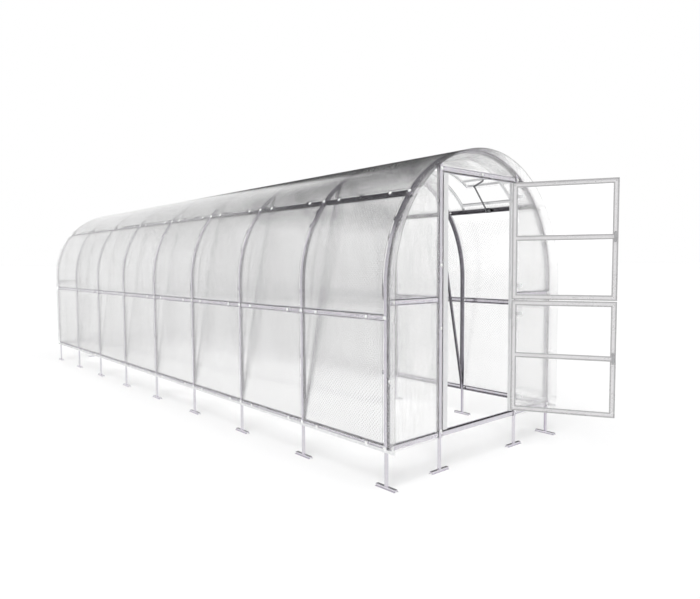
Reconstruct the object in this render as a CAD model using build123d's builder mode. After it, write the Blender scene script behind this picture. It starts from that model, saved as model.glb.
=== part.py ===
# Polytunnel greenhouse: galvanised hat-section hoops on ground anchors, twin-wall cover sheets,
# end walls with a doorway, a stable door in two leaves, and a roof vent held ajar.
# +X runs across the tunnel, +Y from the door end to the back end, +Z up. The ground is z = 0.

from build123d import *
from math import asin, cos, degrees, radians, sin, sqrt
import os

os.makedirs("parts", exist_ok=True)

# Tunnel
tunnel_width = 2150       # between the middles of the hoop's two legs
leg_height = 1170         # base rails' middle to where the hoop starts to curve
bay_length = 1000
bay_count = 8
base_height = 296         # ground to the middle of the base rails
mid_rail_height = 948     # above the base rails
upper_rail_angle = 40     # above the horizontal, seen from the hoop's centre

# Hat section of hoops, posts and rails
hat_width = 56
hat_crown = 30
hat_depth = 22
steel_wall = 1.5

# Ground anchors
stake_width = 25
stake_depth = 17
stake_wall = 2
stake_lap = 60            # how far the stake reaches up inside the leg, above the base rails
foot_length = 200
foot_width = 44
foot_depth = 18

# Struts inside the inner hoops
strut_width = 28
strut_depth = 14
strut_foot_height = 30    # above the base rails
strut_reach = 430         # from the leg's middle in to where the strut meets the hoop
strut_overrun = 100       # beyond both ends, before they are cut flush

# Cover and end wall sheets
sheet_thickness = 4
sheet_overhang = 100
sheet_count = 4
sheet_gap = 1             # between two neighbouring sheets

# End walls
post_spacing = 1020
header_height = 2061      # above the base rails
front_mid_rail_height = 1057
jamb_width = 56

# Door leaves
door_gap = 6
door_sill_gap = 22        # under the lower leaf
leaf_split_height = 1020  # above the base rails
leaf_split_gap = 8
leaf_member = 44
leaf_flange = 9
leaf_depth = 20
upper_leaf_mid_rail = 1550
lower_leaf_mid_rail = 542
door_opening_angle = 117.6
hinge_pin_radius = 4
hinge_knuckle_radius = 7
hinge_knuckle_length = 30
hinge_plate = 2
hinge_plate_width = 34
strap_length = 90         # of the leaf's strap, from the hinge pin
hinge_end_distance = 120  # leaf's edge to the middle of the nearest hinge
latch_length = 90
latch_width = 18
latch_thickness = 5
latch_spindle_radius = 5
pin_clearance = 0.1

# Roof vent in the first bay, on the right slope
vent_width = 560
vent_top_angle = 7        # from the ridge, seen from the hoop's centre
vent_bottom_angle = 45.5
vent_bar = 24
vent_bar_depth = 12
vent_opening_angle = 14.5
vent_lap = 25             # how far the flap covers the roof around the opening
flap_bar = 20
flap_bar_depth = 12
flap_bar_gap = 8          # from the opening's edge to the flap's bars
opener_plate = 60
opener_pin = 3
opener_width = 16
opener_thickness = 5
opener_elbow_angle = 33.6
opener_top_angle = 40

# Clearances
butt_gap = 0.3            # between pieces that meet end to end
cope_gap = 1              # round a coped rail end

# Places worked out from the sizes above
half_width = tunnel_width / 2
inner_radius = half_width - hat_depth / 2
outer_radius = half_width + hat_depth / 2
tunnel_length = bay_count * bay_length
spring_z = base_height + leg_height
base_low_z = base_height - hat_width / 2
header_z = base_height + header_height
doorway_half = post_spacing / 2 - hat_width / 2 - jamb_width
leaf_width = 2 * (doorway_half - door_gap)
leaf_low_z = base_height + hat_width / 2 + door_sill_gap
leaf_high_z = header_z - hat_width / 2 - door_gap
split_z = base_height + leaf_split_height
hinge_offset = sheet_thickness + hinge_knuckle_radius
door_reach = leaf_width * sin(radians(door_opening_angle)) + hat_width / 2 + hinge_offset
front_y = -(tunnel_length + sheet_overhang - door_reach) / 2
back_y = front_y + tunnel_length
hoop_places = [front_y + index * bay_length for index in range(bay_count + 1)]


def save(part, name):
    part.label = name
    export_step(part, f"parts/{name}.step")


def save_both_sides(part, name):
    save(part, f"left_{name}")
    save(mirror(part, about=Plane.YZ), f"right_{name}")


# Section of folded steel: two flanges, two webs and a crown, flanges on the local X axis
class HatSection(BaseSketchObject):
    def __init__(self, width=hat_width, crown=hat_crown, depth=hat_depth, wall=steel_wall,
                 rotation=0, align=None, mode=Mode.ADD):
        with BuildSketch() as section:
            with BuildLine():
                Polyline(
                    (0, depth), (crown / 2, depth), (crown / 2, wall), (width / 2, wall), (width / 2, 0),
                    (crown / 2 - wall, 0), (crown / 2 - wall, depth - wall), (0, depth - wall),
                )
                mirror(about=Plane.YZ)
            make_face()
        super().__init__(obj=section.sketch, rotation=rotation, align=align, mode=mode)


# Channel with its web outwards and its lips on the local X axis
class ChannelSection(BaseSketchObject):
    def __init__(self, width, depth, wall, rotation=0, align=None, mode=Mode.ADD):
        with BuildSketch() as section:
            with BuildLine():
                Polyline(
                    (0, depth), (width / 2, depth), (width / 2, 0),
                    (width / 2 - wall, 0), (width / 2 - wall, depth - wall), (0, depth - wall),
                )
                mirror(about=Plane.YZ)
            make_face()
        super().__init__(obj=section.sketch, rotation=rotation, align=align, mode=mode)


# Outline of the tunnel seen from its end, at one radius from the hoop's centre line
class TunnelOutline(BaseSketchObject):
    def __init__(self, radius, low_z, rotation=0, align=None, mode=Mode.ADD):
        with BuildSketch() as outline:
            with BuildLine():
                Polyline((-radius, spring_z), (-radius, low_z), (radius, low_z), (radius, spring_z))
                ThreePointArc((radius, spring_z), (0, spring_z + radius), (-radius, spring_z))
            make_face()
        super().__init__(obj=outline.sketch, rotation=rotation, align=align, mode=mode)


# Everything inside the hoops, to cut what stands against them
with BuildPart() as hoop_inside:
    with BuildSketch(Plane.XZ.offset(-front_y + bay_length)):
        TunnelOutline(inner_radius - butt_gap, 0)
    extrude(amount=-(tunnel_length + 2 * bay_length))


# Hoops
def hoop(y):
    leg = spring_z - base_low_z
    left = Plane(origin=(-inner_radius, y, spring_z), x_dir=(0, 1, 0), z_dir=(0, 0, 1))
    right = Plane(origin=(inner_radius, y, spring_z), x_dir=(0, -1, 0), z_dir=(0, 0, 1))
    with BuildPart() as arch:
        with BuildSketch(left):
            HatSection()
        revolve(axis=Axis((0, y, spring_z), (0, 1, 0)), revolution_arc=180)
        for plane in (left, right):
            with BuildSketch(plane):
                HatSection()
            extrude(amount=-leg)
    return arch.part


for number, y in enumerate(hoop_places, start=1):
    save(hoop(y), f"arch_{number}")


# Ground anchors: a channel stake inside the leg or post, standing on a piece of hat section
def anchor(x, y, outward, along):
    outward = Vector(*outward)
    top = base_height + stake_lap
    web_face = Vector(x, y, 0) + outward * (hat_depth / 2 - steel_wall - stake_depth)
    foot_end = Vector(x, y, 0) - Vector(*along) * foot_length / 2
    with BuildPart() as piece:
        with BuildSketch(Plane(origin=foot_end, x_dir=Vector(*along).cross(Vector(0, 0, -1)), z_dir=along)):
            HatSection(foot_width, stake_width, foot_depth, stake_wall)
        extrude(amount=foot_length)
        seat = Plane(origin=web_face + Vector(0, 0, foot_depth), x_dir=outward.cross(Vector(0, 0, 1)),
                     z_dir=(0, 0, 1))
        with BuildSketch(seat):
            ChannelSection(stake_width, stake_depth, stake_wall)
        extrude(amount=top - foot_depth)
    return piece.part


with BuildPart() as side_anchors:
    for y in hoop_places:
        add(anchor(-half_width, y, (-1, 0, 0), (0, 1, 0)))
save_both_sides(side_anchors.part, "ground_anchors")


# Rails between the hoops: the crown is cut back at both ends and the flanges lap the hoop's flanges
def coped_rail(start, along, outward, length, first_cope, last_cope):
    along = Vector(*along)
    outward = Vector(*outward)
    section = Plane(origin=start, x_dir=outward.cross(along), z_dir=along)
    with BuildPart() as rail:
        with BuildSketch(section):
            HatSection()
        extrude(amount=length)
        for distance, cope in ((0, first_cope), (length - last_cope, last_cope)):
            if cope > 0:
                with BuildSketch(section.offset(distance)):
                    with Locations((0, steel_wall + hat_depth / 2)):
                        Rectangle(hat_width, hat_depth)
                extrude(amount=cope, mode=Mode.SUBTRACT)
    return rail.part


def side_rails(height, angle, seat_gap):
    lift = radians(angle)
    outward = Vector(-cos(lift), 0, sin(lift))
    centre = Vector(0, 0, height)
    margin = hat_crown / 2 + cope_gap
    cope = hat_width / 2 - hat_crown / 2
    with BuildPart() as rails:
        for y in hoop_places[:-1]:
            start = centre + outward * (inner_radius - steel_wall - seat_gap) + Vector(0, y + margin, 0)
            add(coped_rail(start, (0, 1, 0), outward, bay_length - 2 * margin, cope, cope))
    return rails.part


curve_sagitta = inner_radius - sqrt(inner_radius**2 - (hat_width / 2) ** 2)
save_both_sides(side_rails(base_height, 0, 0), "base_rails")
save_both_sides(side_rails(base_height + mid_rail_height, 0, 0), "mid_rails")
save_both_sides(side_rails(spring_z, upper_rail_angle, curve_sagitta), "upper_rails")

# Struts from each inner leg's foot up to its hoop, cut flush with the hoop's inner face
strut_top_x = half_width - strut_reach
strut_top_z = spring_z + sqrt(inner_radius**2 - strut_top_x**2)
strut_foot = Vector(-inner_radius, 0, base_height + strut_foot_height)
strut_line = Vector(-strut_top_x, 0, strut_top_z) - strut_foot
with BuildPart() as struts:
    for y in hoop_places[1:-1]:
        start = strut_foot - strut_line.normalized() * strut_overrun + Vector(0, y, 0)
        with BuildSketch(Plane(origin=start, x_dir=(0, 1, 0), z_dir=strut_line)):
            with Locations((0, -strut_depth / 2)):
                ChannelSection(strut_width, strut_depth, steel_wall)
        extrude(amount=strut_line.length + 2 * strut_overrun)
    add(hoop_inside.part, mode=Mode.INTERSECT)
save_both_sides(struts.part, "struts")


# End walls. The frame is as deep as the hat section and flush with the end hoop's outer edge.
def wall_frame(y_face, inward):
    out = (0, -inward, 0)
    frame_y = y_face + inward * hat_depth
    rail_y = frame_y + inward * steel_wall
    post_x = post_spacing / 2
    margin = hat_crown / 2 + cope_gap
    cope = hat_width / 2 - hat_crown / 2
    with BuildPart() as posts:
        for side in (-1, 1):
            base = Plane(origin=(side * post_x, frame_y, base_low_z), x_dir=(-inward, 0, 0), z_dir=(0, 0, 1))
            with BuildSketch(base):
                HatSection()
            extrude(amount=leg_height + outer_radius)
        add(hoop_inside.part, mode=Mode.INTERSECT)
    between = post_spacing - 2 * margin
    beside = inner_radius - butt_gap - post_x - margin
    mid_z = base_height + front_mid_rail_height
    with BuildPart() as rails:
        for z in (base_height, header_z):
            add(coped_rail((-post_x + margin, rail_y, z), (1, 0, 0), out, between, cope, cope))
        for z in (base_height, mid_z):
            add(coped_rail((post_x + margin, rail_y, z), (1, 0, 0), out, beside, cope, 0))
            add(coped_rail((-post_x - margin, rail_y, z), (-1, 0, 0), out, beside, cope, 0))
    with BuildPart() as anchors:
        for side in (-1, 1):
            add(anchor(side * post_x, y_face + inward * hat_depth / 2, out, (1, 0, 0)))
    return posts.part, rails.part, anchors.part


front_face = front_y - hat_width / 2
back_face = back_y + hat_width / 2
for end, face, inward in (("front", front_face, 1), ("back", back_face, -1)):
    posts, rails, anchors = wall_frame(face, inward)
    save(posts, f"{end}_posts")
    save(rails, f"{end}_wall_rails")
    save(anchors, f"{end}_post_anchors")


# A piece of an end wall's sheet between two places across the tunnel
def wall_sheet(y_low, x_low, x_high, low_z):
    high_z = spring_z + outer_radius
    with BuildPart() as sheet:
        with BuildSketch(Plane.XZ.offset(-y_low)):
            TunnelOutline(outer_radius - butt_gap, base_low_z)
            with Locations(((x_low + x_high) / 2, (low_z + high_z) / 2)):
                Rectangle(x_high - x_low, high_z - low_z, mode=Mode.INTERSECT)
        extrude(amount=-sheet_thickness)
    return sheet.part


panel_edge = post_spacing / 2 - hat_width / 2
front_sheet_y = front_face - sheet_thickness
save(wall_sheet(front_sheet_y, -outer_radius, -panel_edge, base_low_z), "front_left_panel")
save(wall_sheet(front_sheet_y, panel_edge, outer_radius, base_low_z), "front_right_panel")
save(wall_sheet(front_sheet_y, -panel_edge + sheet_gap, panel_edge - sheet_gap, header_z - hat_width / 2),
     "front_top_panel")
save(wall_sheet(back_face, -outer_radius, -panel_edge, base_low_z), "back_left_panel")
save(wall_sheet(back_face, panel_edge, outer_radius, base_low_z), "back_right_panel")
save(wall_sheet(back_face, -panel_edge + sheet_gap, panel_edge - sheet_gap, base_low_z), "back_middle_panel")

# Door jambs: channels that close the doorway down to the leaves' width
jamb_low_z = base_height + hat_width / 2 + butt_gap
jamb_high_z = header_z - hat_width / 2 - butt_gap
with BuildPart() as jambs:
    jamb_foot = Plane(origin=(0, front_face + hat_depth, jamb_low_z), x_dir=(1, 0, 0), z_dir=(0, 0, 1))
    with BuildSketch(jamb_foot):
        with Locations((-doorway_half - jamb_width / 2, 0), (doorway_half + jamb_width / 2, 0)):
            ChannelSection(jamb_width - 2 * butt_gap, hat_depth, steel_wall, rotation=180)
    extrude(amount=jamb_high_z - jamb_low_z)
save(jambs.part, "door_jambs")

# Cover sheets over the hoops
cover_start = front_y - sheet_overhang
cover_length = tunnel_length + 2 * sheet_overhang
vent_y = front_y + bay_length / 2
vent_low = vent_y - vent_width / 2
vent_high = vent_y + vent_width / 2


# Plane across the roof at one angle from the ridge: local X runs along the tunnel, local Y outwards
def roof_plane(centre_x, centre_z, angle):
    turn = radians(angle)
    return Plane(origin=(centre_x, vent_y, centre_z), x_dir=(0, 1, 0), z_dir=(cos(turn), 0, -sin(turn)))


def roof_band(centre_x, centre_z, first, last, low_radius, high_radius, places):
    axis = Axis((centre_x, vent_y, centre_z), (0, 1, 0))
    with BuildPart() as band:
        with BuildSketch(roof_plane(centre_x, centre_z, first)):
            for low, high in places:
                with Locations(((low + high) / 2, (low_radius + high_radius) / 2)):
                    Rectangle(high - low, high_radius - low_radius)
        revolve(axis=axis, revolution_arc=last - first)
    return band.part


seam_hoops = [hoop_places[index] for index in range(2, bay_count, 2)][: sheet_count - 1]
sheet_edges = [cover_start, *seam_hoops, cover_start + cover_length]
for number in range(1, len(sheet_edges)):
    low = sheet_edges[number - 1] + (sheet_gap / 2 if number > 1 else 0)
    high = sheet_edges[number] - (sheet_gap / 2 if number < len(sheet_edges) - 1 else 0)
    with BuildPart() as cover:
        with BuildSketch(Plane.XZ.offset(-low)):
            TunnelOutline(outer_radius + sheet_thickness, base_low_z)
        extrude(amount=-(high - low))
        with BuildSketch(Plane.XZ.offset(-low)):
            TunnelOutline(outer_radius, base_low_z)
        extrude(amount=-(high - low), mode=Mode.SUBTRACT)
        if number == 1:
            opening = roof_band(0, spring_z, vent_top_angle, vent_bottom_angle,
                                outer_radius - sheet_thickness, outer_radius + 2 * sheet_thickness,
                                [(-vent_width / 2, vent_width / 2)])
            add(opening, mode=Mode.SUBTRACT)
    save(cover.part, f"cover_sheet_{number}")

# Roof vent: a top bar between two hoops and two curved side bars down to the upper rail
vent_half = vent_width / 2
bar_low_radius = outer_radius - vent_bar_depth
bar_angle = degrees(vent_bar / outer_radius)
rail_web_angle = 90 - upper_rail_angle - degrees(asin((hat_crown / 2 + butt_gap) / bar_low_radius))
top_bar_half = bay_length / 2 - hat_crown / 2 - butt_gap
with BuildPart() as vent_frame:
    add(roof_band(0, spring_z, vent_top_angle, rail_web_angle, bar_low_radius, outer_radius - butt_gap,
                  [(-vent_half - vent_bar, -vent_half), (vent_half, vent_half + vent_bar)]))
    add(roof_band(0, spring_z, vent_top_angle - bar_angle, vent_top_angle, bar_low_radius,
                  outer_radius - butt_gap, [(-top_bar_half, top_bar_half)]))
    add(roof_band(0, spring_z, vent_bottom_angle, vent_bottom_angle + bar_angle, bar_low_radius,
                  outer_radius - butt_gap, [(-vent_half, vent_half)]))
save(vent_frame.part, "roof_vent_frame")

# Vent flap, turned up about its top edge, which lies on the cover
flap_radius = outer_radius + sheet_thickness + butt_gap
top_turn = radians(vent_top_angle)
turned_top = radians(vent_top_angle - vent_opening_angle)
flap_centre_x = flap_radius * (sin(top_turn) - sin(turned_top))
flap_centre_z = spring_z + flap_radius * (cos(top_turn) - cos(turned_top))
flap_first = vent_top_angle - vent_opening_angle
flap_last = vent_bottom_angle - vent_opening_angle + degrees(vent_lap / flap_radius)
flap_half = vent_half + vent_lap
flap_bar_half = vent_half - flap_bar_gap
flap_bar_first = flap_first + degrees(flap_bar_gap / flap_radius)
flap_bar_last = vent_bottom_angle - vent_opening_angle - degrees(flap_bar_gap / flap_radius)
flap_bar_angle = degrees(flap_bar / flap_radius)
with BuildPart() as vent_flap:
    add(roof_band(flap_centre_x, flap_centre_z, flap_first, flap_last, flap_radius,
                  flap_radius + sheet_thickness, [(-flap_half, flap_half)]))
save(vent_flap.part, "roof_vent_flap")

opener_bar_first = opener_top_angle - vent_opening_angle - flap_bar_angle / 2
with BuildPart() as flap_frame:
    bar_low = flap_radius - flap_bar_depth
    bar_high = flap_radius
    add(roof_band(flap_centre_x, flap_centre_z, flap_bar_first, flap_bar_last, bar_low, bar_high,
                  [(-flap_bar_half, -flap_bar_half + flap_bar), (flap_bar_half - flap_bar, flap_bar_half)]))
    for first in (flap_bar_first, opener_bar_first, flap_bar_last - flap_bar_angle):
        add(roof_band(flap_centre_x, flap_centre_z, first, first + flap_bar_angle, bar_low, bar_high,
                      [(-flap_bar_half, flap_bar_half)]))
save(flap_frame.part, "roof_vent_flap_frame")


# Vent opener: a bracket on the upper rail, an arm up to the elbow and an arm from there to the flap
def polar(centre_x, centre_z, radius, angle):
    turn = radians(angle)
    return Vector(centre_x + radius * sin(turn), vent_y, centre_z + radius * cos(turn))


def opener_arm(first, last, low_y, pin_radius, hole_radius):
    line = last - first
    side = Plane(origin=Vector(first.X, low_y, first.Z), x_dir=line, z_dir=(0, -1, 0))
    with BuildPart() as arm:
        with BuildSketch(side):
            with Locations((line.length / 2, 0)):
                SlotCenterToCenter(line.length, opener_width)
            with Locations((line.length, 0)):
                if hole_radius > 0:
                    Circle(hole_radius, mode=Mode.SUBTRACT)
        extrude(amount=-opener_thickness)
        if pin_radius > 0:
            with BuildSketch(side):
                with Locations((line.length, 0)):
                    Circle(pin_radius)
            extrude(amount=-2 * opener_thickness - butt_gap)
    return arm.part


rail_seat = inner_radius - steel_wall - curve_sagitta
rail_foot = polar(0, spring_z, rail_seat - opener_width, 90 - upper_rail_angle)
elbow = polar(0, spring_z, half_width, opener_elbow_angle)
flap_pin = polar(flap_centre_x, flap_centre_z, flap_radius - flap_bar_depth - opener_width,
                 opener_top_angle - vent_opening_angle)
with BuildPart() as lower_arm:
    with BuildSketch(roof_plane(0, spring_z, 90 - upper_rail_angle)):
        with Locations((0, rail_seat - butt_gap - steel_wall / 2)):
            Rectangle(opener_plate, steel_wall)
    extrude(amount=hat_width / 2, both=True)
    with BuildSketch(roof_plane(0, spring_z, 90 - upper_rail_angle)):
        with Locations((-opener_thickness / 2, rail_seat - opener_width / 2 - butt_gap)):
            Rectangle(opener_thickness, opener_width)
    extrude(amount=opener_width / 2, both=True)
    add(opener_arm(rail_foot, elbow, vent_y - opener_thickness, opener_pin, 0))
with BuildPart() as upper_arm:
    with BuildSketch(roof_plane(flap_centre_x, flap_centre_z, opener_top_angle - vent_opening_angle)):
        with Locations((opener_thickness / 2 + butt_gap, bar_low - butt_gap - opener_width / 2)):
            Rectangle(opener_thickness, opener_width)
    extrude(amount=opener_width / 2, both=True)
    add(opener_arm(flap_pin, elbow, vent_y + butt_gap, 0, opener_pin + pin_clearance))
with BuildPart() as opener:
    add(lower_arm.part)
    add(upper_arm.part)
save(opener.part, "roof_vent_opener")


# Door leaves, standing open about the hinge line in front of the right jamb
door_turn = radians(door_opening_angle)
leaf_along = Vector(-cos(door_turn), -sin(door_turn), 0)
leaf_inward = Vector(-sin(door_turn), cos(door_turn), 0)
door_hinge = Vector(doorway_half - door_gap / 2, front_face - hinge_offset, 0)
leaf_corner = door_hinge + leaf_along * (door_gap / 2) + leaf_inward * hinge_offset


# Face of a leaf's frame, drawn in from its edges by an inset
class LeafOutline(BaseSketchObject):
    def __init__(self, height, mid, inset, rotation=0, align=None, mode=Mode.ADD):
        pane_width = leaf_width - 2 * leaf_member + 2 * inset
        lower_pane = (leaf_member, mid - leaf_member / 2)
        upper_pane = (mid + leaf_member / 2, height - leaf_member)
        with BuildSketch() as outline:
            with Locations((leaf_width / 2, height / 2)):
                Rectangle(leaf_width - 2 * inset, height - 2 * inset)
            for low, high in (lower_pane, upper_pane):
                with Locations((leaf_width / 2, (low + high) / 2)):
                    Rectangle(pane_width, high - low + 2 * inset, mode=Mode.SUBTRACT)
        super().__init__(obj=outline.sketch, rotation=rotation, align=align, mode=mode)


def leaf_plane(z):
    return Plane(origin=leaf_corner + Vector(0, 0, z), x_dir=leaf_along, z_dir=leaf_inward)


def door_leaf(name, low_z, high_z, mid_z):
    face = leaf_plane(low_z)
    height = high_z - low_z
    mid = mid_z - low_z
    with BuildPart() as frame:
        with BuildSketch(face):
            LeafOutline(height, mid, leaf_flange)
        extrude(amount=steel_wall)
        with BuildSketch(face):
            LeafOutline(height, mid, leaf_flange)
            LeafOutline(height, mid, leaf_flange + steel_wall, mode=Mode.SUBTRACT)
        extrude(amount=leaf_depth)
        with BuildSketch(face.offset(leaf_depth - steel_wall)):
            LeafOutline(height, mid, 0)
            LeafOutline(height, mid, leaf_flange + steel_wall, mode=Mode.SUBTRACT)
        extrude(amount=steel_wall)
        with BuildSketch(face):
            with Locations((leaf_width - leaf_member / 2, mid)):
                Circle(latch_spindle_radius + butt_gap)
        extrude(amount=steel_wall, mode=Mode.SUBTRACT)
    with BuildPart() as sheet:
        with BuildSketch(face):
            with Locations((leaf_width / 2, height / 2)):
                Rectangle(leaf_width, height)
            with Locations((leaf_width - leaf_member / 2, mid)):
                Circle(latch_spindle_radius + butt_gap, mode=Mode.SUBTRACT)
        extrude(amount=-sheet_thickness)
    save(frame.part, f"{name}_leaf_frame")
    save(sheet.part, f"{name}_leaf_sheet")


# Hinges: the jamb holds the two outer knuckles and the pin, the leaf's strap the middle one
def jamb_hinges(places):
    knuckle = hinge_knuckle_length - pin_clearance
    plate_height = 3 * hinge_knuckle_length
    with BuildPart() as hinges:
        for z in places:
            with BuildSketch(Plane.XY.offset(z - plate_height / 2)):
                with Locations((door_hinge.X, door_hinge.Y)):
                    Circle(hinge_pin_radius)
                with Locations((door_hinge.X + hinge_plate_width / 2, front_face - hinge_plate / 2)):
                    Rectangle(hinge_plate_width, hinge_plate)
            extrude(amount=plate_height)
            for end in (z - plate_height / 2, z + plate_height / 2 - knuckle):
                with BuildSketch(Plane.XY.offset(end)):
                    with Locations((door_hinge.X, door_hinge.Y)):
                        Circle(hinge_knuckle_radius)
                    with Locations((door_hinge.X + hinge_plate, (front_face + door_hinge.Y) / 2)):
                        Rectangle(2 * hinge_plate, hinge_offset)
                extrude(amount=knuckle)
    return hinges.part


def leaf_straps(places):
    height = hinge_knuckle_length - 2 * pin_clearance
    with BuildPart() as straps:
        for z in places:
            strap_foot = door_hinge + Vector(0, 0, z - height / 2)
            flat = Plane(origin=strap_foot, x_dir=leaf_along, z_dir=(0, 0, -1))
            with BuildSketch(flat):
                Circle(hinge_knuckle_radius)
                with Locations((strap_length / 2, hinge_knuckle_radius - hinge_plate / 2)):
                    Rectangle(strap_length, hinge_plate)
                Circle(hinge_pin_radius + pin_clearance, mode=Mode.SUBTRACT)
            extrude(amount=-height)
    return straps.part


# Latch: a turn button on the inside and outside of the free stile, joined through it by its spindle
def leaf_latch(name, z):
    centre = leaf_plane(z).offset(-sheet_thickness)
    stile_x = leaf_width - leaf_member / 2
    through = sheet_thickness + leaf_depth
    with BuildPart() as latch:
        for distance, amount in ((0, -latch_thickness), (through, latch_thickness)):
            with BuildSketch(centre.offset(distance)):
                with Locations((stile_x, 0)):
                    SlotOverall(latch_length, latch_width, rotation=90)
            extrude(amount=amount)
        with BuildSketch(centre):
            with Locations((stile_x, 0)):
                Circle(latch_spindle_radius)
        extrude(amount=through)
    save(latch.part, f"{name}_leaf_latch")


lower_top_z = split_z - leaf_split_gap / 2
upper_low_z = split_z + leaf_split_gap / 2
lower_hinges = (leaf_low_z + hinge_end_distance, lower_top_z - hinge_end_distance)
upper_hinges = (upper_low_z + hinge_end_distance, leaf_high_z - hinge_end_distance)
lower_mid_z = base_height + lower_leaf_mid_rail
upper_mid_z = base_height + upper_leaf_mid_rail
save(jamb_hinges((*lower_hinges, *upper_hinges)), "door_hinges")
for name, low_z, high_z, mid_z, hinge_places in (
    ("lower", leaf_low_z, lower_top_z, lower_mid_z, lower_hinges),
    ("upper", upper_low_z, leaf_high_z, upper_mid_z, upper_hinges),
):
    door_leaf(name, low_z, high_z, mid_z)
    save(leaf_straps(hinge_places), f"{name}_leaf_straps")
    leaf_latch(name, mid_z)
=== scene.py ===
from math import cos, pi, radians, sin

import bmesh
import bpy
from mathutils import Matrix, Vector


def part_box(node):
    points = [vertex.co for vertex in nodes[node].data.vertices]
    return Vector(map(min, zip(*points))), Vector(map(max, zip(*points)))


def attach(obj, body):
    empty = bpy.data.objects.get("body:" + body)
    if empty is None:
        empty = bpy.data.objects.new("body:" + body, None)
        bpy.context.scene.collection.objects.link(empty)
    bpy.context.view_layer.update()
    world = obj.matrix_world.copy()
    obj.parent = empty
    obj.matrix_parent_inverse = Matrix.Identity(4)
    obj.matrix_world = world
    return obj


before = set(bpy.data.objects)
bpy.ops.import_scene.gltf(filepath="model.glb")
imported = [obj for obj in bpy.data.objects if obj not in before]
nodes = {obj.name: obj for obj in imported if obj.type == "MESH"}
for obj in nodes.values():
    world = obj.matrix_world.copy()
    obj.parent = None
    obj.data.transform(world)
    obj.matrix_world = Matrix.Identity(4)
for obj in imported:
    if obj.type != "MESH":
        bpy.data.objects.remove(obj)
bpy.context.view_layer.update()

# Sizes that the part's source also uses, in metres
half_width = 1.075
spring_height = 1.466
base_height = 0.296
mid_height = base_height + 0.948
header_height = base_height + 2.061
front_mid_height = base_height + 1.057
hat_width = 0.056
hat_crown = 0.030
hat_depth = 0.022
sheet_thickness = 0.004
inner_radius = half_width - hat_depth / 2
outer_radius = half_width + hat_depth / 2
cover_radius = outer_radius + sheet_thickness
upper_rail_lift = radians(40)
post_x = 0.51
front_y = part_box("arch_1")[0].y + 0.028
bay = 1.0
hoops = [front_y + index * bay for index in range(9)]
front_face = front_y - 0.028
back_face = hoops[-1] + 0.028
steel_wall = 0.0015
foot_of_frame = base_height - hat_width / 2
leaf_width = 0.840
leaf_depth = 0.020
leaf_gap = 0.003
stile_middle = 0.022
hinge_offset = 0.011
leaf_spans = {"lower": (base_height + 0.050, base_height + 1.016),
              "upper": (base_height + 1.024, header_height - 0.034)}
front_sheet_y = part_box("front_left_panel")[0].y
back_sheet_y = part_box("back_left_panel")[1].y
door_angle = radians(117.6)
hinge_place = Vector((0.423, front_face - hinge_offset))
leaf_inward = Vector((-sin(door_angle), cos(door_angle)))
leaf_flange_depth = hinge_place.dot(leaf_inward) + hinge_offset + leaf_depth


# Node trees. A Value is a socket, and sums, products and powers of values add their Math nodes.
class Value:
    def __init__(self, tree, socket):
        self.tree = tree
        self.socket = socket

    def __add__(self, other):
        return self.tree.math("ADD", self, other)

    def __radd__(self, other):
        return self.tree.math("ADD", other, self)

    def __sub__(self, other):
        return self.tree.math("SUBTRACT", self, other)

    def __rsub__(self, other):
        return self.tree.math("SUBTRACT", other, self)

    def __mul__(self, other):
        return self.tree.math("MULTIPLY", self, other)

    def __rmul__(self, other):
        return self.tree.math("MULTIPLY", other, self)

    def __pow__(self, other):
        return self.tree.math("POWER", self, other)


class Tree:
    def __init__(self, node_tree):
        self.nodes = node_tree.nodes
        self.links = node_tree.links
        self.nodes.clear()

    def node(self, kind, settings, sockets, output=0):
        made = self.nodes.new(kind)
        for name, value in settings.items():
            if name == "stops":
                while len(made.color_ramp.elements) < len(value):
                    made.color_ramp.elements.new(1.0)
                for element, (place, colour) in zip(made.color_ramp.elements, value):
                    element.position = place
                    element.color = colour
            else:
                setattr(made, name, value)
        for key, value in sockets.items():
            if isinstance(value, Value):
                self.links.new(value.socket, made.inputs[key])
            else:
                made.inputs[key].default_value = value
        return Value(self, made.outputs[output]) if made.outputs else made

    def math(self, operation, *values):
        return self.node("ShaderNodeMath", {"operation": operation}, dict(enumerate(values)))

    def mix(self, share, first, second):
        return self.node("ShaderNodeMix", {"data_type": "RGBA"}, {0: share, 6: first, 7: second}, 2)

    def tint(self, share, first, second):
        return self.node("ShaderNodeMix", {"data_type": "RGBA", "blend_type": "MULTIPLY"},
                         {0: share, 6: first, 7: second}, 2)

    def distance(self, value, place):
        return self.math("ABSOLUTE", value - place)

    def spread(self, value, low, high):
        return self.node("ShaderNodeMapRange", {"interpolation_type": "SMOOTHSTEP"},
                         {"Value": value, "From Min": low, "From Max": high})

    def parts(self, vector):
        return [self.node("ShaderNodeSeparateXYZ", {}, {"Vector": vector}, axis) for axis in range(3)]

    def place(self):
        return self.node("ShaderNodeTexCoord", {}, {}, "Object")

    def mapped(self, scale, turn=(0, 0, 0)):
        return self.node("ShaderNodeMapping", {}, {"Vector": self.place(), "Scale": scale, "Rotation": turn})

    def noise(self, vector, scale, detail=2.0, roughness=0.5):
        return self.node("ShaderNodeTexNoise", {}, {"Vector": vector, "Scale": scale, "Detail": detail,
                                                    "Roughness": roughness})

    def bump(self, height, strength, distance):
        return self.node("ShaderNodeBump", {}, {"Height": height, "Strength": strength, "Distance": distance})


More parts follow.
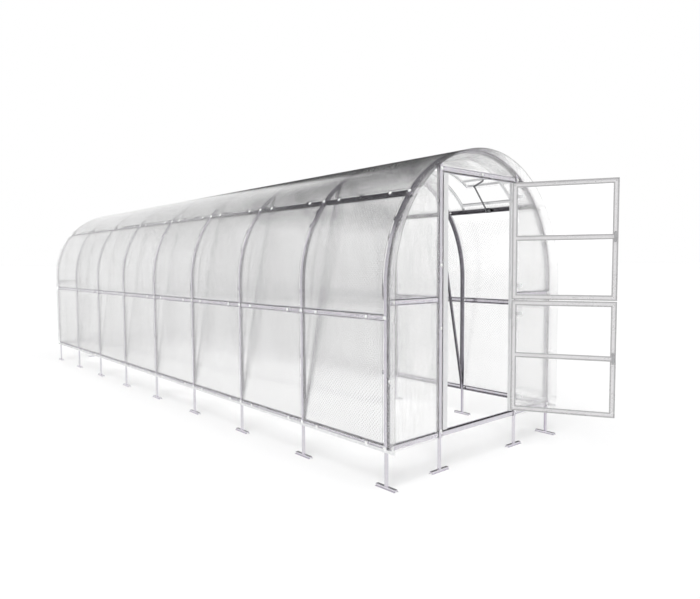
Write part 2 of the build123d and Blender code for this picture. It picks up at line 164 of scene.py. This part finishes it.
def finish(name, slot):
    material = bpy.data.materials.new(name)
    material.use_nodes = True
    tree = Tree(material.node_tree)

    def close(lets_light=False, **sockets):
        named = {key.replace("_", " ").title().replace("Ior", "IOR"): value for key, value in sockets.items()}
        shader = tree.node("ShaderNodeBsdfPrincipled", {}, named)
        if lets_light:
            shadow = tree.node("ShaderNodeLightPath", {}, {}, "Is Shadow Ray")
            through = tree.node("ShaderNodeBsdfTransparent", {}, {"Color": (0.93, 0.93, 0.93, 1)})
            shader = tree.node("ShaderNodeMixShader", {}, {0: shadow, 1: shader, 2: through})
        tree.node("ShaderNodeOutputMaterial", {}, {"Surface": shader})
        material["slot"] = slot
        return material

    return tree, close


def grey(value, warmth=0.0):
    return (value * (1 + warmth), value, value * (1 - warmth), 1)


# Where a point lies on a folded section: its height over the flanges, and its distance from the middle line
def tunnel_radius(tree):
    across, _, height = tree.parts(tree.place())
    above = tree.math("MAXIMUM", height - spring_height, 0.0)
    return tree.math("SQRT", across * across + above * above, 0.0)


def hoop_section(tree):
    along = tree.parts(tree.place())[1]
    return tunnel_radius(tree) - inner_radius, tree.math("PINGPONG", along - front_y, bay / 2)


def side_rail_section(tree):
    across, _, height = tree.parts(tree.place())
    lift = tree.math("ARCTAN2", height - spring_height, tree.math("ABSOLUTE", across))
    from_upper = tree.math("ABSOLUTE", lift - upper_rail_lift) * half_width
    from_lower = tree.math("MINIMUM", tree.distance(height, base_height), tree.distance(height, mid_height))
    return tunnel_radius(tree) - (inner_radius - steel_wall), tree.math("MINIMUM", from_upper, from_lower)


def wall_section(face, out, height_over_flange, member):
    def section(tree):
        across, along, height = tree.parts(tree.place())
        if member == "posts":
            middle = tree.distance(tree.math("ABSOLUTE", across), post_x)
        else:
            middle = tree.distance(height, base_height)
            for place in (front_mid_height, header_height):
                middle = tree.math("MINIMUM", middle, tree.distance(height, place))
        return (along - (face - out * height_over_flange)) * out, middle
    return section


# Painted shade on the door leaves' flanges, with the crown left light, by depth across the turned leaf
def leaf_painted_shade(tree):
    depth = tree.parts(tree.mapped((1, 1, 1), (0, 0, -door_angle)))[1]
    return tree.mix(tree.spread(leaf_flange_depth - depth, 0.004, 0.016), grey(0.6), grey(1.0))


# Share of a place that lies clear of every member, from its distance to the nearest one's middle line
def clear_of_steel(tree, *distances):
    return tree.spread(tree.math("MINIMUM", *distances), hat_width / 2 - 0.001, hat_width / 2 + 0.002)


# Share of a place where steel lies right behind a sheet. The curve of the roof over the upper rails hides it.
def on_cover_steel(tree):
    near_hoop = tree.math("PINGPONG", tree.parts(tree.place())[1] - front_y, bay / 2)
    near_rail = side_rail_section(tree)[1]
    away = clear_of_steel(tree, near_hoop, near_rail)
    below_roof = 1.0 - tree.spread(tree.parts(tree.place())[2], spring_height + 0.725, spring_height + 0.80)
    return (1.0 - away) * below_roof


def on_wall_steel(tree):
    near_post = wall_section(front_face, -1, hat_depth, "posts")(tree)[1]
    near_rail = wall_section(front_face, -1, hat_depth, "rails")(tree)[1]
    away = clear_of_steel(tree, near_post, near_rail)
    inside = 1.0 - tree.spread(tunnel_radius(tree), inner_radius - 0.003, inner_radius)
    return 1.0 - away * inside


# Painted shade and painted highlights on a folded section's web, by its height from the flanges to the crown
web_painted_shade_and_highlights = [(0.0, grey(0.2)), (0.22, grey(0.1)), (0.32, grey(0.85)), (0.58, grey(0.85)), (0.70, grey(0.08)),
             (0.88, grey(0.08)), (0.92, grey(1.0))]


# Hot-dip galvanised sheet steel: small spangle cells under a dull film. Folded sections get painted shade in
# the folds and painted highlights on the crown and the flanges' edges. A painted tone of its own can take the
# section's place, and painted shade can darken everything above a height.
def galvanised(name, slot, light, roughness, section=None, tone=None, painted_shade_above=None):
    tree, close = finish(name, slot)
    cells = tree.node("ShaderNodeTexVoronoi", {"feature": "F1"}, {"Vector": tree.place(), "Scale": 160.0},
                      "Color")
    spangle = tree.node("ShaderNodeSeparateColor", {}, {"Color": cells}, 0)
    film = tree.noise(tree.place(), 5.0, 4.0, 0.55)
    share = spangle * 0.35 + film * 0.65
    dull = tuple(value * 0.88 for value in light[:3]) + (1,)
    colour = tree.mix(tree.spread(share, 0.25, 0.8), dull, light)
    if section:
        height, middle = section(tree)
        # Painted shade in the folds and painted highlights on the crown and the flanges' edges
        web = tree.node("ShaderNodeValToRGB", {"stops": web_painted_shade_and_highlights}, {"Fac": height * (1 / hat_depth)})
        flange = tree.mix(tree.spread(middle, 0.0205, 0.0235), grey(0.12), grey(1.0))
        tone = tree.mix(tree.spread(height, 0.0018, 0.0026), flange, web)
        # Painted shade over everything above the given height
        if painted_shade_above:
            above = tree.spread(tree.parts(tree.place())[2], painted_shade_above - 0.05, painted_shade_above)
            tone = tree.tint(above, tone, grey(0.6))
    elif tone:
        tone = tone(tree)
    if tone:
        colour = tree.tint(1.0, colour, tone)
    grain = tree.noise(tree.place(), 900.0, 2.0)
    return close(base_color=colour, metallic=0.94,
                 roughness=spangle * 0.05 + film * 0.08 + (roughness - 0.07),
                 normal=tree.bump(spangle * 0.6 + grain * 0.4, 0.06, 0.0003))


# Clear twin-wall sheet: two skins joined by close ribs, with a faint haze that varies along them. The cover
# has a gloss coat, a fine hatch of the two skins' ribs, and a closed look on top. The sheet is clearer where
# it lies on steel.
rib_pitch = 0.0057
hatch_pitch = 0.030


def twin_wall(name, slot, across, turn=(0, 0, 0), clear=0.06, frosting=0.07, roof=0.0, milky=0.0, body=0.72,
              dullest=0.72, on_steel=None):
    tree, close = finish(name, slot)
    along = [0.1, 0.1, 0.1]
    along[across] = 1.0
    straight = tree.parts(tree.mapped((1, 1, 1), turn))[across]
    rib = tree.math("COSINE", straight * (2 * pi / rib_pitch), 0.0)
    ridge = tree.spread(rib, 0.6, 1.0)
    streak = tree.noise(tree.mapped(tuple(along), turn), 55.0, 4.0, 0.65)
    cloud = tree.noise(tree.place(), 1.3, 3.0, 0.55)
    hatch = 0.0
    if roof:
        run, rise = (tree.math("COSINE", part * (2 * pi / hatch_pitch), 0.0)
                     for part in tree.parts(tree.place())[1:])
        hatch = run * rise * 0.5
    stain = tree.spread(streak, 0.35, 0.85) * 0.18 + tree.spread(cloud, 0.35, 0.7) * 0.06
    haze = clear + hatch + ridge * 0.12 + stain
    colour = tree.mix(haze, (1.0, 1.0, 1.0, 1), grey(dullest))
    frost = frosting + streak * 0.06 + ridge * 0.04
    edge_on = tree.node("ShaderNodeLayerWeight", {}, {"Blend": 0.5}, "Facing")
    height = tree.parts(tree.place())[2]
    upper = tree.spread(height, spring_height + 0.55, spring_height + 0.80) * roof
    cover = tree.math("MINIMUM", haze + body + (edge_on ** 3.0) * 0.5 + upper, 1.0)
    if on_steel:
        cover = cover * (1.0 - on_steel(tree) * 0.75)
    return close(base_color=colour, roughness=frost, alpha=cover, ior=1.6, coat_weight=0.6 * roof,
                 coat_roughness=0.08, transmission_weight=1.0 - milky, lets_light=True,
                 normal=tree.bump(rib, 0.08, 0.0005))


def plain(name, slot, colour, roughness, metallic=0.0, grain=400.0):
    tree, close = finish(name, slot)
    cloud = tree.noise(tree.place(), 60.0, 3.0)
    fine = tree.noise(tree.place(), grain, 2.0)
    darker = (colour[0] * 0.82, colour[1] * 0.82, colour[2] * 0.82, 1)
    return close(base_color=tree.mix(tree.spread(cloud, 0.3, 0.75), darker, colour), metallic=metallic,
                 roughness=fine * 0.1 + roughness, normal=tree.bump(fine, 0.1, 0.0003))


steel_tone = (0.80, 0.775, 0.83, 1)
steel = galvanised("galvanised_steel", "galvanised_steel", steel_tone, 0.22)
pale_steel = galvanised("pale_steel", "galvanised_steel", (0.93, 0.93, 0.94, 1), 0.42)
# Painted shade: a darker copy of the galvanised steel for the inner struts
painted_shade_strut_steel = galvanised("painted_shade_strut_steel", "galvanised_steel", (0.34, 0.325, 0.355, 1), 0.25)
# Hoops, side rails and end-wall posts and rails get painted shade in their folds and painted highlights on
# crowns and flange edges
hoop_steel = galvanised("hoop_steel", "galvanised_steel", steel_tone, 0.20, hoop_section)
# The upper side rails get painted shade above a height
rail_steel = galvanised("rail_steel", "galvanised_steel", steel_tone, 0.20, side_rail_section,
                        painted_shade_above=spring_height + 0.5)
wall_steel = {}
for end, face, out in (("front", front_face, -1), ("back", back_face, 1)):
    for member, flange_height in (("posts", hat_depth), ("rails", hat_depth + steel_wall)):
        wall_steel[end, member] = galvanised(f"{end}_{member}_steel", "galvanised_steel", steel_tone, 0.20,
                                             wall_section(face, out, flange_height, member))
# The door leaves' frames carry painted shade on their flanges
door_steel = galvanised("door_steel", "door_steel", (0.93, 0.92, 0.93, 1), 0.30, tone=leaf_painted_shade)
zinc = plain("zinc_plated", "fittings", (0.55, 0.55, 0.56, 1), 0.3, 1.0)
dark_zinc = plain("dark_zinc", "fittings", (0.20, 0.20, 0.21, 1), 0.3, 1.0)
washer_white = plain("washer_white", "fittings", (0.97, 0.97, 0.97, 1), 0.35)
edge_tape = plain("edge_tape", "fittings", (0.80, 0.80, 0.81, 1), 0.35)
cover_sheet = twin_wall("cover_sheet", "cover_sheet", 1, roof=1.0, on_steel=on_cover_steel)
wall_sheet = twin_wall("wall_sheet", "wall_sheet", 0, clear=0.02, frosting=0.03, milky=0.12, body=0.30,
                       dullest=0.98, on_steel=on_wall_steel)
door_sheet = twin_wall("door_sheet", "door_sheet", 0, turn=(0, 0, -door_angle), clear=0.0, frosting=0.02,
                       body=0.25, dullest=0.96)

for name, node in nodes.items():
    if "sheet" in name or "panel" in name or name == "roof_vent_flap":
        if name.startswith("cover") or name == "roof_vent_flap":
            coat = cover_sheet
        elif "leaf" in name:
            coat = door_sheet
        else:
            coat = wall_sheet
    elif name == "roof_vent_opener":
        coat = dark_zinc
    elif "strap" in name or "hinges" in name:
        coat = pale_steel
    elif "latch" in name:
        coat = zinc
    elif "leaf" in name:
        coat = door_steel
    elif name.startswith("arch"):
        coat = hoop_steel
    elif name.startswith(("left", "right")) and "rails" in name:
        coat = rail_steel
    elif name.endswith("posts") or name.endswith("wall_rails"):
        coat = wall_steel[name.split("_")[0], name.split("_")[-1]]
    elif name in ("roof_vent_frame", "roof_vent_flap_frame", "door_jambs"):
        coat = pale_steel
    elif "strut" in name:
        coat = painted_shade_strut_steel
    else:
        coat = steel
    node.data.materials.clear()
    node.data.materials.append(coat)


# Pieces made here
def piece(name, bm, coat, body, smooth=30):
    bmesh.ops.recalc_face_normals(bm, faces=bm.faces)
    mesh = bpy.data.meshes.new(name)
    bm.to_mesh(mesh)
    bm.free()
    made = bpy.data.objects.new(name, mesh)
    bpy.context.scene.collection.objects.link(made)
    mesh.materials.append(coat)
    mesh.shade_smooth()
    mesh.set_sharp_from_angle(angle=radians(smooth))
    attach(made, body)
    return made


# Frame at a place on a surface, its Z axis along the surface's outward normal
def seat(place, normal):
    return Matrix.Translation(place) @ Vector(normal).to_track_quat("Z", "Y").to_matrix().to_4x4()


# Turned shape from a half profile of (radius, height) points, spun about Z
def turned(profile, steps):
    bm = bmesh.new()
    points = [bm.verts.new((radius, 0, height)) for radius, height in profile]
    edges = [bm.edges.new(pair) for pair in zip(points, points[1:])]
    bmesh.ops.spin(bm, geom=points + edges, cent=(0, 0, 0), axis=(0, 0, 1), angle=2 * pi, steps=steps,
                   use_merge=True)
    bmesh.ops.remove_doubles(bm, verts=bm.verts, dist=1e-6)
    bmesh.ops.recalc_face_normals(bm, faces=bm.faces)
    mesh = bpy.data.meshes.new("turned")
    bm.to_mesh(mesh)
    bm.free()
    return mesh


def repeated(name, mesh, seats, coat, body):
    bm = bmesh.new()
    for place in seats:
        first = len(bm.verts)
        bm.from_mesh(mesh)
        bm.verts.ensure_lookup_table()
        bmesh.ops.transform(bm, matrix=place, verts=bm.verts[first:])
    return piece(name, bm, coat, body)


# Flat strip bent along a path of (place, outward) points, with its outer face out and its edges along "side"
def strip(bm, path, side, width, thickness):
    side = Vector(side) * width / 2
    rings = []
    for place, outward in path:
        outer = place + outward * thickness
        corners = (place - side, place + side, outer + side, outer - side)
        rings.append([bm.verts.new(corner) for corner in corners])
    for first, second in zip(rings, rings[1:]):
        for index in range(4):
            after = (index + 1) % 4
            bm.faces.new((first[index], first[after], second[after], second[index]))
    bm.faces.new(rings[0])
    bm.faces.new(list(reversed(rings[-1])))


# The crowns' outer faces lie in the same plane as the sheets' inner faces, so neither shows cleanly. A thin
# steel face stands for each crown just inside the sheet.
face_lift = 0.0002
face_thickness = 0.0003
arc_steps = 48
crown_radius = outer_radius + face_lift
crown_path = [(Vector((-crown_radius, 0, foot_of_frame)), Vector((-1, 0, 0)))]
for step in range(arc_steps + 1):
    turn = pi * (1 - step / arc_steps)
    outward = Vector((cos(turn), 0, sin(turn)))
    crown_path.append((Vector((0, 0, spring_height)) + outward * crown_radius, outward))
crown_path.append((Vector((crown_radius, 0, foot_of_frame)), Vector((1, 0, 0))))
bm = bmesh.new()
for y in hoops:
    path = [(place + Vector((0, y, 0)), outward) for place, outward in crown_path]
    strip(bm, path, (0, 1, 0), hat_crown, face_thickness)
piece("hoop_crown_face", bm, steel, "tunnel")
for end, face, out in (("front", front_face, -1), ("back", back_face, 1)):
    bm = bmesh.new()
    outward = Vector((0, out, 0))
    top = spring_height + (inner_radius ** 2 - (post_x + hat_crown / 2) ** 2) ** 0.5
    for side in (-1, 1):
        path = [(Vector((side * post_x, face + out * face_lift, z)), outward) for z in (foot_of_frame, top)]
        strip(bm, path, (1, 0, 0), hat_crown, face_thickness)
    piece(f"{end}_post_crown_face", bm, steel, "tunnel")


# Round sealing washers with a capped screw, on the sheets over every rail
washer_cap = turned([(0, 0.0052), (0.0045, 0.005), (0.0062, 0.0038), (0.0085, 0.0034), (0.0125, 0.0022),
                     (0.0138, 0)], 12)


def side_seats(side, height, lift, radius):
    outward = Vector((side * cos(lift), 0, sin(lift)))
    middle = Vector((0, 0, height))
    for number, y in enumerate(hoops):
        yield seat(middle + outward * radius + Vector((0, y, 0)), outward)
        if number < len(hoops) - 1:
            for share in (0.2, 0.8):
                yield seat(middle + outward * radius + Vector((0, y + share * bay, 0)), outward)


for side, word in ((-1, "left"), (1, "right")):
    places = []
    for height, lift in ((base_height, 0), (mid_height, 0), (spring_height, upper_rail_lift)):
        places += side_seats(side, height, lift, cover_radius)
    repeated(f"{word}_sheet_washers", washer_cap, places, washer_white, "tunnel")

for end, y, out in (("front", front_sheet_y, -1), ("back", back_sheet_y, 1)):
    spots = []
    for side in (-1, 1):
        spots += [(side * 1.045, base_height), (side * 1.03, front_mid_height), (side * half_width, 0.79)]
        spots += [(side * post_x, base_height + 0.03), (side * post_x, header_height)]
        spots += [(side * post_x, 1.13), (side * post_x, 1.62)]
    spots.append((0, header_height))
    places = [seat(Vector((x, y, z)), (0, out, 0)) for x, z in spots]
    repeated(f"{end}_wall_washers", washer_cap, places, washer_white, "tunnel")


# Hexagon heads and nuts where the coped rail ends lap the flanges of hoops and posts
hex_head = turned([(0, 0.0034), (0.0034, 0.0034), (0.0042, 0.0028), (0.0042, 0)], 6)
flange_middle = (hat_width + hat_crown) / 4
middle_bolt_height = 1.641
bolt_seats = []
for side in (-1, 1):
    for height, lift in ((base_height, 0), (mid_height, 0), (spring_height, upper_rail_lift)):
        outward = Vector((side * cos(lift), 0, sin(lift)))
        across = Vector((-side * sin(lift), 0, cos(lift))) * flange_middle
        for number, y in enumerate(hoops):
            for along in (-1, 1):
                if number == 0 and along < 0 or number == len(hoops) - 1 and along > 0:
                    continue
                middle = Vector((0, y + along * flange_middle, height))
                for offset in (-across, across):
                    bolt_seats.append(seat(middle + offset + outward * (inner_radius - steel_wall), -outward))
                    bolt_seats.append(seat(middle + offset + outward * (inner_radius + steel_wall), outward))
repeated("hoop_rail_bolts", hex_head, bolt_seats, dark_zinc, "tunnel")

for end, face, out in (("front", front_face, -1), ("back", back_face, 1)):
    flange_face = face - out * (hat_depth - steel_wall)
    outward = Vector((0, out, 0))
    bolt_seats = []
    for side in (-1, 1):
        spots = [(flange_middle, base_height), (flange_middle, front_mid_height)]
        spots += [(-flange_middle, base_height), (-flange_middle, header_height)]
        for shift, height in spots:
            for offset in (-flange_middle, flange_middle):
                place = Vector((side * (post_x + shift), flange_face, height + offset))
                bolt_seats.append(seat(place, outward))
                bolt_seats.append(seat(place - outward * 3 * steel_wall, -outward))
        place = Vector((side * (post_x + flange_middle), flange_face, middle_bolt_height))
        bolt_seats.append(seat(place, outward))
    repeated(f"{end}_post_bolts", hex_head, bolt_seats, dark_zinc, "tunnel")

# Long screws that hold the end panels to the end hoops, beside the upper rails
long_screw = turned([(0, 0.016), (0.0035, 0.016), (0.004, 0.0155), (0.004, 0.005), (0.008, 0.005),
                     (0.009, 0.004), (0.009, 0)], 12)
screw_lift = radians(37.5)
screw_x = half_width * cos(screw_lift)
screw_height = spring_height + half_width * sin(screw_lift)
for end, y, out in (("front", front_sheet_y, -1), ("back", back_sheet_y, 1)):
    places = [seat(Vector((side * screw_x, y, screw_height)), (0, out, 0)) for side in (-1, 1)]
    repeated(f"{end}_arch_screws", long_screw, places, dark_zinc, "tunnel")

# Hinge pin caps, screws in the hinge plates and straps, and rivets that hold the leaves' sheets
screw_head = turned([(0, 0.0022), (0.002, 0.0021), (0.0038, 0.0012), (0.0045, 0)], 10)
rivet_head = turned([(0, 0.0016), (0.0026, 0.0014), (0.0046, 0.0005), (0.005, 0)], 10)
rivet_tail = turned([(0, 0.0022), (0.0022, 0.0018), (0.003, 0.0006), (0.003, 0)], 8)
pin_cap = turned([(0, 0.002), (0.004, 0.0018), (0.0055, 0.0008), (0.0055, 0)], 16)
leaf_along = Vector((-cos(door_angle), -sin(door_angle), 0))
inward = leaf_inward.to_3d()
hinge_line = hinge_place.to_3d()
hinge_plate = 0.002
strap_face = 0.005
leaf_face = 0.007
hinge_from_edge = 0.120
plate_seats = []
pin_seats = []
for word, (low, high) in leaf_spans.items():
    strap_seats = []
    head_seats = []
    tail_seats = []
    for height in (low + hinge_from_edge, high - hinge_from_edge):
        for step in (-0.030, 0.030):
            place = Vector((hinge_place.x + 0.022, front_face - hinge_plate, height + step))
            plate_seats.append(seat(place, (0, -1, 0)))
        for along in (0.035, 0.055, 0.078):
            place = hinge_line + leaf_along * along + inward * strap_face + Vector((0, 0, height))
            strap_seats.append(seat(place, -inward))
        for end in (-1, 1):
            pin_seats.append(seat(hinge_line + Vector((0, 0, height + end * 0.045)), (0, 0, end)))
    latch_low, latch_high = (corner.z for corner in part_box(f"{word}_leaf_latch"))
    spots = []
    for step in range(6):
        height = low + stile_middle + (high - low - 2 * stile_middle) * step / 5
        spots.append((stile_middle, height))
        if not latch_low - 0.01 < height < latch_high + 0.01:
            spots.append((leaf_width - stile_middle, height))
    for step in range(1, 5):
        along = stile_middle + (leaf_width - 2 * stile_middle) * step / 5
        spots += [(along, low + stile_middle), (along, high - stile_middle)]
    for along, height in spots:
        place = hinge_line + leaf_along * (leaf_gap + along) + Vector((0, 0, height))
        head_seats.append(seat(place + inward * leaf_face, -inward))
        tail_seats.append(seat(place + inward * (hinge_offset + steel_wall), inward))
    repeated(f"{word}_strap_screws", screw_head, strap_seats, zinc, f"{word}_leaf")
    repeated(f"{word}_leaf_rivets", rivet_head, head_seats, washer_white, f"{word}_leaf")
    repeated(f"{word}_leaf_rivet_tails", rivet_tail, tail_seats, zinc, f"{word}_leaf")
repeated("hinge_screws", screw_head, plate_seats, zinc, "tunnel")
repeated("hinge_pin_caps", pin_cap, pin_seats, zinc, "tunnel")

# Edge tape that closes the channels along the bottom of the cover
tape_height = 0.025
tape_end_gap = 0.002
cover_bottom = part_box("cover_sheet_2")[0].z
for side, word in ((-1, "left"), (1, "right")):
    bm = bmesh.new()
    outward = Vector((side, 0, 0))
    for number in range(1, 5):
        low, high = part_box(f"cover_sheet_{number}")
        place = Vector((side * cover_radius, 0, cover_bottom + tape_height / 2))
        path = [(place + Vector((0, y, 0)), outward) for y in (low.y + tape_end_gap, high.y - tape_end_gap)]
        strip(bm, path, (0, 0, 1), tape_height, face_thickness)
    piece(f"{word}_edge_tape", bm, edge_tape, "tunnel")


# Camera at the photograph's place, with the focal length and width of the picture in its own pixels
focal_length = 594.36
picture_width = 700
camera_place = Vector((-4.058, front_y - 3.0101, 1.626))
camera_yaw = radians(41.236)
camera_pitch = radians(3.354)
camera_roll = radians(0.25)
ahead = Vector((sin(camera_yaw) * cos(camera_pitch), cos(camera_yaw) * cos(camera_pitch), -sin(camera_pitch)))
right = Vector((cos(camera_yaw), -sin(camera_yaw), 0))
up = right.cross(ahead)
image_right = right * cos(camera_roll) - up * sin(camera_roll)
image_up = right * sin(camera_roll) + up * cos(camera_roll)
lens = bpy.data.cameras.new("photo_camera")
lens.sensor_width = 36
lens.lens = focal_length * lens.sensor_width / picture_width
lens.clip_start = 0.05
camera = bpy.data.objects.new("photo_camera", lens)
axes = Matrix((image_right, image_up, -ahead)).transposed().to_4x4()
camera.matrix_world = Matrix.Translation(camera_place) @ axes
bpy.context.scene.collection.objects.link(camera)
bpy.context.scene.camera = camera

# Pale floor, white surround and soft lights
bm = bmesh.new()
bmesh.ops.create_grid(bm, x_segments=1, y_segments=1, size=2000)
floor_mesh = bpy.data.meshes.new("floor")
bm.to_mesh(floor_mesh)
bm.free()
floor = bpy.data.objects.new("floor", floor_mesh)
bpy.context.scene.collection.objects.link(floor)
tree, close = finish("pale_floor", "floor")
floor_mesh.materials.append(close(base_color=(0.9, 0.9, 0.9, 1), roughness=0.9, specular_ior_level=0.1))
floor.visible_glossy = False

world = bpy.data.worlds.new("studio")
bpy.context.scene.world = world
world.use_nodes = True
tree = Tree(world.node_tree)
direction = tree.node("ShaderNodeTexCoord", {}, {}, "Generated")
rightness, depth, height = tree.parts(direction)
camera_ray, reflections, bounces = (tree.node("ShaderNodeLightPath", {}, {}, output)
                                    for output in ("Is Camera Ray", "Glossy Depth", "Diffuse Depth"))
# The camera sees the surround white. Reflections see it darker on the right and overhead, which gives the
# roof and rails their dark tones, and light through the sheets sees it darker overhead.
left_side = tree.mix(tree.spread(rightness, -0.62, -0.3), grey(0.66), grey(1.0))
front_side = tree.mix(tree.spread(depth, -0.3, 0.3), grey(0.85), left_side)
dark_right = tree.spread(rightness, 0.395, 0.50) * tree.spread(depth, 0.1, 0.5)
low_band = tree.mix(dark_right, front_side, grey(0.06))
dark_roof = tree.spread(height, 0.47, 0.60)
dark = (0.05, 0.048, 0.054, 1)
over_floor = tree.mix(tree.spread(height, -0.12, -0.02), grey(0.9), low_band)
shone = tree.mix(dark_roof, over_floor, dark)
through = tree.mix(dark_roof, grey(1.2), grey(0.10))
reflected = tree.math("MINIMUM", reflections, 1.0)
lit = tree.mix(tree.math("MINIMUM", bounces, 1.0), tree.mix(reflected, through, shone), grey(0.55))
seen = tree.mix(camera_ray, lit, grey(1.0))
shine = tree.node("ShaderNodeBackground", {}, {"Color": seen, "Strength": 1.0})
tree.node("ShaderNodeOutputWorld", {}, {"Surface": shine})


def soft_sun(name, toward, angle, strength):
    light = bpy.data.lights.new(name, "SUN")
    light.angle = radians(angle)
    light.energy = strength
    lamp = bpy.data.objects.new(name, light)
    lamp.matrix_world = Vector(toward).to_track_quat("Z", "Y").to_matrix().to_4x4()
    bpy.context.scene.collection.objects.link(lamp)


soft_sun("key_light", (-1.0, -0.45, 1.5), 40, 1.9)
soft_sun("fill_light", (0.6, -0.8, 1.2), 60, 0.5)

scene = bpy.context.scene
scene.view_settings.view_transform = "Standard"
scene.cycles.transparent_max_bounces = 32
